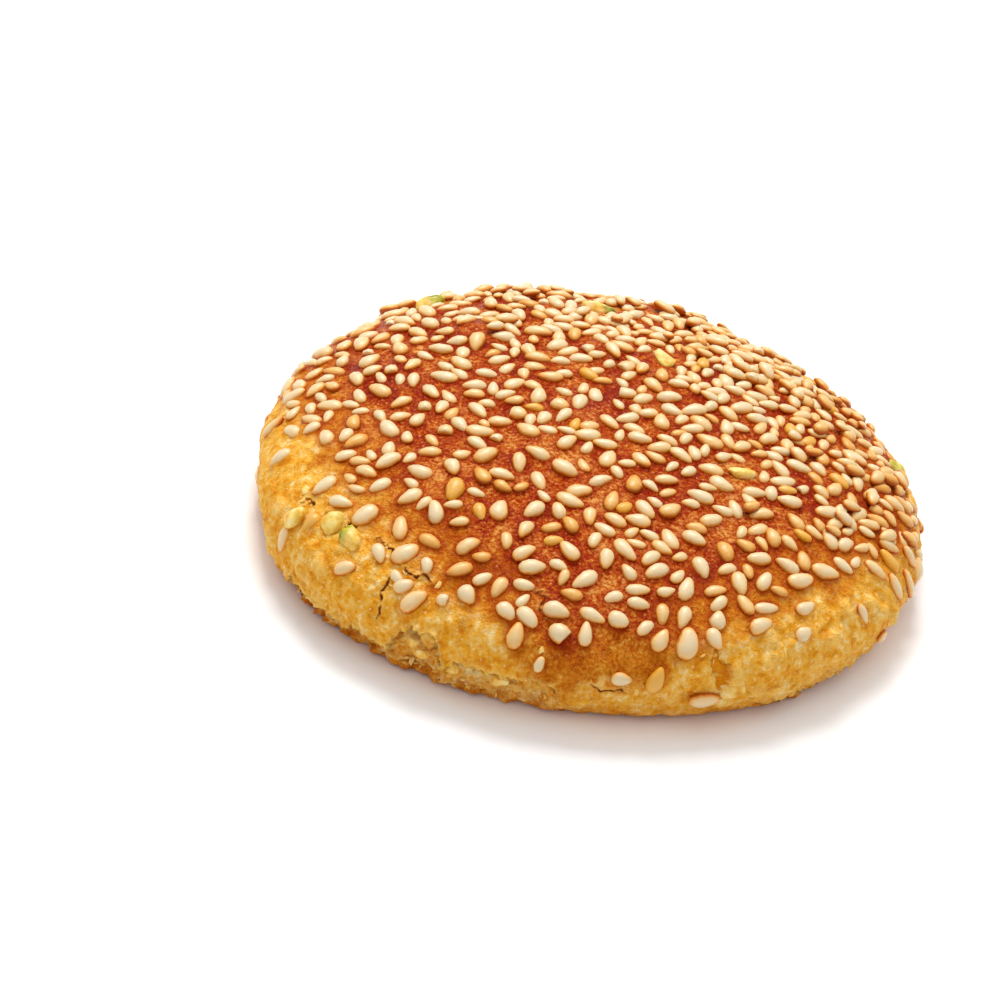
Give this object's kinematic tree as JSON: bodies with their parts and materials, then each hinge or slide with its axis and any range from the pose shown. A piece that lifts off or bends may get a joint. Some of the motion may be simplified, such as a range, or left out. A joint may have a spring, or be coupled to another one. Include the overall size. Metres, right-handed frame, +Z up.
{
  "type": "sesame biscuit",
  "caption": "Round low-domed sesame biscuit with a glazed brown top crowded with sesame seeds, slivers of pistachio, a bare golden rim with cracked, broken crust and a flat baked base.",
  "frame": {"origin": "middle of the biscuit's outline, on the surface that its flat base rests on", "axes": "+Z up through the dome, -Y towards the bare golden rim that the picture shows nearest, +X to the right of it"},
  "size_m": [0.0834, 0.0807, 0.0176],
  "materials": {
    "glazed_crust": "gloss",
    "golden_dough": "matte",
    "sesame_seed": "satin",
    "pistachio": "satin"
  },
  "bodies": {
    "root": {"biscuit": "glazed_crust"}
  },
  "joints": []
}
